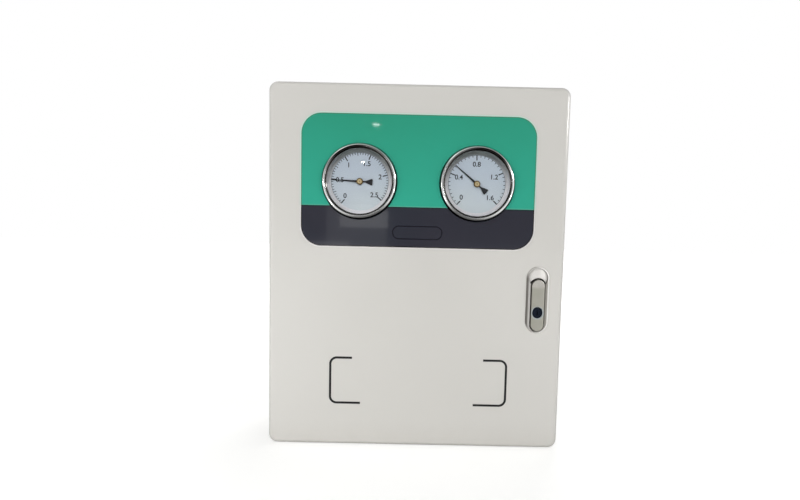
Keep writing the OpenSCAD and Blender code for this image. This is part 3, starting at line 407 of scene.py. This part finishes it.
def lever_casting():
    """Satin die casting, paler and mottled at its top end, with a painted highlight round the key's hole and
    painted shade down its left flank
    """
    lever = Finish("lever_die_cast")
    grain = lever.noise(420.0, 3.0, place=lever.stretched(5.0, 5.0, 1.0))
    cloud = lever.noise(35.0, 3.0).between(0.35, 0.7)
    mottle = lever.noise(900.0, 2.0).between(0.35, 0.65)
    size = size_of(lever_low, lever_high)
    away = outside_of(lever.x, lever.z, middle_of(lever_low, lever_high), size, size[0] / 2)
    # Painted shade down the lever's left flank
    painted_dark_flank = away.between(-1.15 * mm, -0.75 * mm) * (key_place[0] - lever.x).between(-1 * mm, 4 * mm)
    paler_top = (lever.z - key_place[1]).between(32 * mm, 36 * mm)
    # Painted highlight: a pale ring round the key's hole, where its bevel catches light
    ring = reach_from(lever, key_place).between(9.4 * mm, 8.4 * mm)
    shade = lever.blend(cloud, paint(178, 176, 166), paint(171, 170, 157))
    shade = lever.blend(paler_top * (0.3 + mottle * 0.6), shade, paint(206, 202, 197))
    shade = lever.blend(ring * 0.8, shade, paint(186, 195, 198))
    shade = lever.blend(painted_dark_flank * 0.9, shade, paint(58, 50, 44))
    return lever.surface({
        "Base Color": shade, "Metallic": 0.4, "Roughness": 0.38 + grain * 0.10 + cloud * 0.06,
        "Normal": lever.bump(grain, 0.05, 0.2 * mm)})


def lacquer(name, colour, roughness, shine=0.5):
    """Glossy or satin paint over a casting or a pressing, worn a little at random"""
    film = Finish(name)
    wave = film.noise(260.0, 2.0)
    cloud = film.noise(30.0, 3.0).between(0.3, 0.7)
    chip = film.noise(180.0, 5.0, 0.7).between(0.74, 0.78)
    shade = film.blend(cloud * 0.5, colour, [part * 0.85 for part in colour[:3]] + [1.0])
    shade = film.blend(chip, shade, paint(150, 150, 148))
    return film.surface({
        "Base Color": shade, "Roughness": roughness + cloud * 0.08 + chip * 0.2, "Specular IOR Level": shine,
        "Normal": film.bump(wave, 0.05, 0.25 * mm)})


def clear_glass():
    """Thin flat glass that lets the dial show and mirrors a little of the room"""
    pane = Finish("lens_glass")
    wipe = pane.noise(60.0, 4.0, 0.6).between(0.5, 0.9)
    through = pane.node("ShaderNodeBsdfTransparent", {}, {"Color": (0.975, 0.98, 0.985, 1.0)})
    sheen = pane.node("ShaderNodeBsdfGlossy", {}, {"Color": white, "Roughness": 0.008 + wipe * 0.03})
    edge_on = pane.node("ShaderNodeFresnel", {}, {"IOR": 1.45})
    return pane.show(pane.node("ShaderNodeMixShader", {}, {0: edge_on.at_most(0.6), 1: through, 2: sheen}))


def dial_paint():
    """Cool white enamel on a pressed dial, with painted light and shade"""
    dial = Finish("dial_enamel")
    fleck = dial.noise(300.0, 3.0)
    cloud = dial.noise(22.0, 2.0).between(0.3, 0.7)
    # Painted light: the enamel is lighter and greener towards the bottom
    low = (132 * mm - dial.z).between(0.0, 50 * mm)
    shade = dial.blend(low, paint(208, 219, 229), paint(222, 230, 231))
    shade = dial.blend(cloud * 0.4, shade, paint(205, 213, 225))
    # Painted shadow and light on the wall round the dial's edge: dark at the top under the bezel, pale below
    ring = reach_from(dial, *gauge_places.values()).between(38.3 * mm, 38.8 * mm)
    high = (dial.z - facia_centre[1]).between(-10 * mm, 36 * mm)
    shade = dial.blend(ring, shade, dial.blend(high, paint(236, 234, 236), paint(136, 142, 140)))
    return dial.surface({
        "Base Color": shade, "Roughness": 0.45 + fleck * 0.1, "Normal": dial.bump(fleck, 0.02, 0.1 * mm)})


light_grey = paint(212, 210, 205)
finishes = {
    "cabinet_paint": powder_coat("cabinet_powder_coat", light_grey),
    "door_paint": powder_coat("door_powder_coat", light_grey, framed=True),
    "zinc_sheet": metal(
        "zinc_plated_sheet", paint(186, 190, 196), 0.38, 220.0, (1.0, 1.0, 6.0), paint(160, 164, 166)),
    "steel_fixings": metal(
        "zinc_plated_fixings", paint(190, 192, 196), 0.30, 900.0, tarnish=paint(168, 166, 150)),
    "black_rubber": moulding("black_rubber", paint(38, 38, 40), 0.62),
    "foam_gasket": moulding("foam_gasket", paint(54, 54, 57), 0.86, 1400.0, 0.5),
    "printed_facia": printed_facia(),
    "gauge_case_black": lacquer("gauge_case_enamel", paint(34, 35, 38), 0.32),
    "bezel_chrome": rolled_chrome("bezel_chrome", paint(226, 227, 226)),
    "lens_glass": clear_glass(),
    "dial_white": dial_paint(),
    "movement_brass": metal("movement_brass", paint(206, 172, 98), 0.26, 800.0),
    "pointer_black": lacquer("pointer_black", paint(20, 20, 24), 0.35),
    "link_steel": metal("link_steel", paint(184, 186, 190), 0.28, 900.0),
    "pipe_copper": metal("pipe_copper", paint(214, 138, 96), 0.27, 300.0, tarnish=paint(172, 104, 70)),
    "fitting_brass": metal("fitting_brass", paint(214, 180, 104), 0.24, 420.0, tarnish=paint(186, 150, 82)),
    "lever_red": lacquer("lever_red", paint(196, 30, 34), 0.25),
    "knob_blue": moulding("knob_blue", paint(30, 92, 172), 0.38),
    "lock_die_cast": lock_casting(),
    "lever_die_cast": lever_casting(),
    "button_chrome": satin("button_chrome", paint(236, 233, 229), 0.52),
    "barrel_dark": lacquer("barrel_dark", paint(9, 20, 35), 0.35, shine=0.2),
}
for subpart in frame["record"]["subparts"]:
    node = frame["nodes"][subpart["node"]]
    node.data.materials.clear()
    node.data.materials.append(finishes[subpart["material_slot"]])


# Shapes, drawn in millimetres: a place in a drawing is across and up, and out is away from the wall

number_height = 6.3
height_in_font = 0.70
number_swell = 0.17


def make_piece(shape, name, finish, body, slot, *replaced):
    """Closes a shape, turns its faces outward, shades its round sides smooth and hangs it on its body"""
    bmesh.ops.remove_doubles(shape, verts=shape.verts, dist=1e-6)
    bmesh.ops.recalc_face_normals(shape, faces=shape.faces)
    mesh = bpy.data.meshes.new(name)
    shape.to_mesh(mesh)
    shape.free()
    mesh.set_sharp_from_angle(angle=math.radians(32))
    slanted = [max(abs(part) for part in face.normal) < 0.9999 for face in mesh.polygons]
    mesh.polygons.foreach_set("use_smooth", slanted)
    mesh.materials.append(finish)
    piece = bpy.data.objects.new(name, mesh)
    bpy.context.scene.collection.objects.link(piece)
    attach(piece, body)
    if replaced:
        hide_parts(*replaced)


def lathe(profile, centre, steps=128):
    """Turns a closed drawing of (radius, distance from the wall) about an axis that points forward"""
    shape = bmesh.new()
    points = [shape.verts.new((radius * mm, -out * mm, 0.0)) for radius, out in profile]
    edges = [shape.edges.new((a, b)) for a, b in zip(points, points[1:] + points[:1])]
    bmesh.ops.spin(
        shape, geom=points + edges, cent=(0, 0, 0), axis=(0, 1, 0), angle=2 * math.pi, steps=steps,
        use_merge=True)
    bmesh.ops.translate(shape, verts=shape.verts, vec=(centre[0], 0, centre[1]))
    return shape


def arc(centre, radius, start, end, steps):
    """Points of an arc in a drawing, the ends among them"""
    turns = [math.radians(start + (end - start) * step / steps) for step in range(steps + 1)]
    return [(centre[0] + radius * math.cos(turn), centre[1] + radius * math.sin(turn)) for turn in turns]


def rounded_outline(centre, size, corner, steps):
    """Points of a rectangle with round corners, each corner in a number of steps"""
    points = []
    for quarter, (sx, sz) in enumerate(((1, 1), (-1, 1), (-1, -1), (1, -1))):
        middle = (centre[0] + sx * (size[0] / 2 - corner), centre[1] + sz * (size[1] / 2 - corner))
        points += arc(middle, corner, 90 * quarter, 90 * quarter + 90, steps)
    return points


def cut_sheet(outlines, back, front, edge=0.0):
    """A flat sheet cut to closed outlines, between two distances from the wall, its edges rounded off"""
    curve = bpy.data.curves.new("outline", "CURVE")
    curve.dimensions = "2D"
    curve.fill_mode = "BOTH"
    curve.extrude = (front - back) / 2 - edge
    curve.bevel_depth = edge
    curve.bevel_resolution = 3
    curve.offset = -edge
    for outline in outlines:
        spline = curve.splines.new("POLY")
        spline.points.add(len(outline) - 1)
        for point, (x, z) in zip(spline.points, outline):
            point.co = (x, z, 0.0, 1.0)
        spline.use_cyclic_u = True
    return curve_to_shape(curve, (0, (front + back) / 2, 0))


def curve_to_shape(curve, place):
    """Stands a drawing in millimetres upright, at a place across, out from the wall and up"""
    carrier = bpy.data.objects.new(curve.name, curve)
    bpy.context.scene.collection.objects.link(carrier)
    bpy.context.view_layer.update()
    mesh = bpy.data.meshes.new_from_object(carrier.evaluated_get(bpy.context.evaluated_depsgraph_get()))
    shape = bmesh.new()
    shape.from_mesh(mesh)
    across, out, up = place
    stand = Matrix.Translation((across * mm, -out * mm, up * mm)) @ Matrix.Rotation(math.pi / 2, 4, "X")
    bmesh.ops.transform(shape, matrix=stand @ Matrix.Scale(mm, 4), verts=shape.verts)
    bpy.data.objects.remove(carrier)
    bpy.data.curves.remove(curve)
    bpy.data.meshes.remove(mesh)
    return shape


def number(words, centre, out):
    """A number printed on a dial"""
    text = bpy.data.curves.new("number", "FONT")
    text.body = words
    text.align_x = "CENTER"
    text.align_y = "CENTER"
    text.size = number_height / height_in_font
    text.extrude = 0.025
    text.offset = number_swell
    return curve_to_shape(text, (centre[0], out, centre[1]))


def gathered(shapes):
    """Several shapes made one"""
    whole = bmesh.new()
    for shape in shapes:
        mesh = bpy.data.meshes.new("part")
        shape.to_mesh(mesh)
        shape.free()
        whole.from_mesh(mesh)
        bpy.data.meshes.remove(mesh)
    return whole


def in_mm(lengths):
    return [length / mm for length in lengths]


# The facia, with its two gauge holes

facia_back = -facia_high[1] / mm
facia_front = -facia_low[1] / mm
gauge_hole_r = 50.3
hole_steps = 128
outlines = [rounded_outline(in_mm(facia_centre), in_mm(facia_size), facia_corner / mm, 24)]
for place in gauge_places.values():
    outlines.append(arc(in_mm(place), gauge_hole_r, 0, 360 - 360 / hole_steps, hole_steps - 1))
make_piece(cut_sheet(outlines, facia_back, facia_front, 0.5), "facia_sheet", finishes["printed_facia"],
    "door", "printed_facia", "facia_panel")


# The gauges: bezel, lens seal, printed scale and hub cap

scales = {
    "inlet": {"zero": 230.0, "numbers": ("0", "0.5", "1", "1.5", "2", "2.5"), "between": 10,
        "places": ((-19.6, -19.5), (-26.6, 1.5), (-15.2, 21.3), (9.0, 23.5), (27.0, 6.3), (19.6, -17.6))},
    "outlet": {"zero": 226.5, "numbers": ("0", "0.4", "0.8", "1.2", "1.6"), "between": 8,
        "places": ((-20.4, -18.0), (-24.2, 8.5), (-0.8, 26.0), (22.8, 9.6), (18.0, -18.0))},
}
ink = lacquer("dial_ink", paint(30, 33, 42), 0.45)


def hub_finish():
    """Turned brass, pale in the middle and brown towards the rim"""
    hub = Finish("hub_brass")
    reach = reach_from(hub, *gauge_places.values())
    turned = hub.noise(900.0, 2.0)
    shade = hub.blend(reach.between(2.6 * mm, 3.4 * mm), paint(238, 214, 160), paint(128, 100, 52))
    shade = hub.blend((reach < 0.9 * mm) * 0.7, shade, paint(150, 118, 70))
    return hub.surface({
        "Base Color": shade, "Metallic": 0.6, "Roughness": 0.34 + turned * 0.1,
        "Normal": hub.bump(turned, 0.03, 0.1 * mm)})


hub_brass = hub_finish()
# The lens retainer's steel is painted dark, so that it reads black like shade and dark reflection, save where
# lamps catch it
retainer_painted_dark = rolled_chrome("retainer_painted_dark", paint(76, 74, 71))
seal_rubber = moulding("lens_seal_rubber", paint(22, 22, 24), 0.5)
dial_out = -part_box("inlet_gauge_dial")[1][1] / mm + 0.8


def radial_mark(centre, angle, near, far, width):
    """One tick of a scale, as a drawing"""
    turn = math.radians(angle)
    along = Vector((math.cos(turn), math.sin(turn)))
    beside = Vector((-along.y, along.x)) * width / 2
    middle = Vector(centre)
    corners = ((near, -1), (far, -1), (far, 1), (near, 1))
    return [tuple(middle + along * reach + beside * way) for reach, way in corners]


sweep = 270
sweep_steps = 135
print_thick = 0.06
scale_line_r, scale_line_bore = 38.3, 37.9
tick_tip = 38.0
major_tick, half_tick, minor_tick = 31.4, 34.0, 35.4

bezel_r = 49.0
bezel_bore = 47.3
bezel_len = 13
roll_r = 3.0
bead_r = 0.5
crown_r = bezel_r - roll_r
lens_depth = 1.7
seal_depth = 1.75

for side, scale in scales.items():
    place = gauge_places[side]
    centre = in_mm(place)
    front = -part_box(side + "_gauge_bezel")[0][1] / mm
    crown = arc((crown_r, front - roll_r), roll_r, 0, 90, 16)
    crown += arc((crown_r, front - bead_r), bead_r, 105, 180, 5)
    bezel = [(bezel_bore, front - bezel_len), (bezel_r, front - bezel_len)] + crown + [
        (crown_r - bead_r, front - lens_depth), (bezel_bore, front - lens_depth)]
    make_piece(lathe(bezel, place), side + "_bezel_ring", finishes["bezel_chrome"], "cabinet", "bezel_chrome",
        side + "_gauge_bezel")
    foot = front - seal_depth
    seal = [(45.45, foot), (45.45, front - 0.7), (45.3, front - 0.5), (44.9, front - 0.7), (44.85, foot)]
    make_piece(lathe(seal, place), side + "_lens_seal", seal_rubber, "cabinet", "black_rubber")
    retainer = [(44.8, foot), (44.8, front - 0.9)] + arc((44.4, front - 1.25), 0.35, 90, 150, 4) + [
        (43.2, foot + 0.1), (43.1, foot)]
    make_piece(lathe(retainer, place), side + "_lens_retainer", retainer_painted_dark, "cabinet", "bezel_chrome")

    numbers, zero, between = scale["numbers"], scale["zero"], scale["between"]
    scale_line = arc(centre, scale_line_r, zero, zero - sweep, sweep_steps)
    scale_line += arc(centre, scale_line_bore, zero - sweep, zero, sweep_steps)
    marks = [cut_sheet([scale_line], dial_out, dial_out + print_thick)]
    spaces = (len(numbers) - 1) * between
    ticks = []
    for k in range(spaces + 1):
        major = k % between == 0
        halfway = between == 10 and k % 5 == 0
        reach = major_tick if major else half_tick if halfway else minor_tick
        ticks.append(radial_mark(centre, zero - k * sweep / spaces, reach, tick_tip, 1.5 if major else 0.8))
    marks.append(cut_sheet(ticks, dial_out, dial_out + print_thick))
    for words, (across, up) in zip(numbers, scale["places"]):
        marks.append(number(words, (centre[0] + across, centre[1] + up), dial_out + print_thick / 2))
    make_piece(gathered(marks), side + "_dial_scale", ink, "cabinet", "pointer_black")

    nose = -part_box(side + "_pointer")[0][1] / mm
    cap = [(0.0, nose - 0.7), (4.4, nose - 0.7), (4.4, nose - 0.2), (4.1, nose + 0.1), (3.1, nose + 0.15),
        (3.0, nose + 0.6), (2.7, nose + 0.8), (1.0, nose + 0.8), (0.8, nose + 0.55), (0.0, nose + 0.5)]
    make_piece(lathe(cap, place, 64), side + "_hub_cap", hub_brass, side + "_pointer_body", "movement_brass")


# Floor, light and camera

gauge_rings = bpy.data.collections.new("gauge_rings")
for side in gauge_places:
    for part in ("_bezel_ring", "_lens_retainer"):
        gauge_rings.objects.link(bpy.data.objects[side + part])


def area_lamp(name, place, target, size, power, glossy=True, diffuse=True, lit_only=None):
    """A flat lamp that glossy and matt parts catch or don't, and that may light some pieces alone"""
    light = bpy.data.lights.new(name, "AREA")
    light.shape = "RECTANGLE"
    light.size, light.size_y = size
    light.energy = power
    lamp = bpy.data.objects.new(name, light)
    lamp.location = place
    lamp.rotation_euler = (Vector(target) - Vector(place)).to_track_quat("-Z", "Y").to_euler()
    lamp.visible_glossy = glossy
    lamp.visible_diffuse = diffuse
    lamp.visible_camera = False
    lamp.light_linking.receiver_collection = lit_only
    bpy.context.scene.collection.objects.link(lamp)


area_lamp("ceiling_light", (-0.4, -4.5, 2.75), (0, -0.15, 0.05), (1.8, 0.9), 80, glossy=False)
area_lamp("front_left_softbox", (-1.2, -1.6, 0.1), (0, -0.1, -0.1), (1.4, 0.6), 8.7, glossy=False)
area_lamp("low_left_softbox", (-0.28, -0.5, -0.2), (-0.15, -0.165, -0.18), (0.3, 0.08), 0.26, glossy=False)
area_lamp("low_right_softbox", (0.3, -0.5, -0.2), (0.15, -0.165, -0.18), (0.3, 0.08), 0.10, glossy=False)
area_lamp("front_right_softbox", (1.3, -1.5, 0.1), (0, -0.1, -0.1), (1.0, 0.6), 5.0, glossy=False)
area_lamp("rear_softbox", (0.5, 2.2, 1.2), (0, 0, 0), (1.4, 1.0), 26, glossy=False)
area_lamp("right_panel", (0.95, -0.55, 0.40), (0.19, -0.15, 0.2), (0.5, 0.14), 3.2, diffuse=False)
area_lamp("low_left_window", (-0.62, -0.62, -0.19), (0, -0.16, 0.116), (0.16, 0.10), 0.5, diffuse=False,
    lit_only=gauge_rings)
area_lamp("left_window", (-0.7, -0.35, 0.13), (0, -0.16, 0.116), (0.08, 0.10), 0.25, diffuse=False,
    lit_only=gauge_rings)
area_lamp("low_right_window", (0.65, -0.6, 0.0), (0, -0.16, 0.116), (0.14, 0.08), 0.4, diffuse=False,
    lit_only=gauge_rings)
area_lamp("lens_glint", (-0.192, -1.5, 0.309), (-0.078, -0.16, 0.116), (0.011, 0.006), 0.014, diffuse=False)
area_lamp("band_window", (-0.213, -1.5, 0.066), (-0.08, -0.165, 0.06), (0.224, 0.173), 0.046, diffuse=False)
area_lamp("band_pane", (-0.186, -1.5, 0.100), (-0.07, -0.165, 0.066), (0.180, 0.065), 0.034, diffuse=False)
area_lamp("band_corner", (-0.31, -1.5, -0.003), (-0.11, -0.165, 0.03), (0.139, 0.036), 0.0094, diffuse=False)
area_lamp("facia_glint", (-0.148, -1.5, 0.447), (-0.02, -0.16, 0.19), (0.024, 0.004), 0.010, diffuse=False)

floor_shape = bmesh.new()
bmesh.ops.create_grid(floor_shape, x_segments=8, y_segments=8, size=12.0)
bmesh.ops.translate(floor_shape, verts=floor_shape.verts, vec=(0, 0, floor_height))
floor_mesh = bpy.data.meshes.new("floor")
floor_shape.to_mesh(floor_mesh)
floor_shape.free()
floor = bpy.data.objects.new("floor", floor_mesh)
bpy.context.scene.collection.objects.link(floor)


def floor_finish():
    """Pale floor that reads as white where no shadow falls"""
    ground = Finish("pale_floor")
    grain = ground.noise(40.0, 3.0)
    matt = ground.node("ShaderNodeBsdfDiffuse", {}, {
        "Color": ground.blend(grain * 0.04, paint(232, 232, 230), paint(222, 222, 220))})
    seen, mirrored = ground.rays()
    far = (ground.x ** 2 + (ground.y + 0.1) ** 2) ** 0.5
    glow = ground.node("ShaderNodeEmission", {}, {
        "Color": white, "Strength": seen * (0.5 + far.between(0.35, 2.0) * 0.6)})
    lit = ground.node("ShaderNodeAddShader", {}, {0: matt, 1: glow})
    # As mirrors see it, the floor glows, more at the sides, standing in for lamps low down
    sides = abs(ground.x).between(0.15, 0.5)
    mirror_glow = ground.node("ShaderNodeEmission", {}, {"Color": white, "Strength": 0.16 + sides * 0.85})
    return ground.show(ground.node("ShaderNodeMixShader", {}, {0: mirrored, 1: lit, 2: mirror_glow}))


floor_mesh.materials.append(floor_finish())


def studio():
    """A white room. As polished parts mirror it, it has windows at the sides and is dim behind the camera"""
    room = Surroundings("studio")
    seen, mirrored = room.rays()
    turn = room.z.maths("ARCTAN2", room.z, room.x) / (2 * math.pi)
    turn = turn + (turn < 0)
    greys = (
        (0, 1.0), (0.06, 0.8), (0.085, 1.0), (0.11, 0.5), (0.17, 0.25), (0.25, 0.4),
        (0.31, 0.55), (0.34, 0.95), (0.38, 0.5), (0.42, 0.3), (0.46, 0.6), (0.5, 0.9),
        (0.53, 0.9), (0.56, 0.35), (0.575, 1.0), (0.6, 1.0), (0.62, 0.3), (0.72, 0.45),
        (0.81, 0.6), (0.825, 0.95), (0.85, 0.95), (0.875, 0.4), (0.94, 0.6), (0.98, 1.0))
    round_about = room.node("ShaderNodeValToRGB", {
        "stops": [(place, (grey, grey, grey, 1.0)) for place, grey in greys]}, {0: turn})
    behind_camera = (0 - room.y).between(0.80, 0.97)
    mirror_light = round_about * 1.25 * (1 - behind_camera) + behind_camera * 0.2
    soft_light = 0.28 - (0 - room.x).between(0.3, 0.9) * 0.18
    strength = seen + mirrored * mirror_light + (1 - seen) * (1 - mirrored) * soft_light
    return room.show(room.node("ShaderNodeBackground", {}, {"Color": white, "Strength": strength}))


bpy.context.scene.world = studio()

camera_data = bpy.data.cameras.new("camera")
camera_data.sensor_width = 36.0
camera_data.lens = 25.01
camera_data.shift_x = -0.0169
camera_data.shift_y = 0.0379
camera = bpy.data.objects.new("camera", camera_data)
camera.location = (-0.0074, -0.910, 0.0475)
camera.rotation_euler = Euler([math.radians(angle) for angle in (85.252, -1.286, -0.189)])
bpy.context.scene.collection.objects.link(camera)
bpy.context.scene.camera = camera

bpy.context.scene.view_settings.view_transform = "Standard"
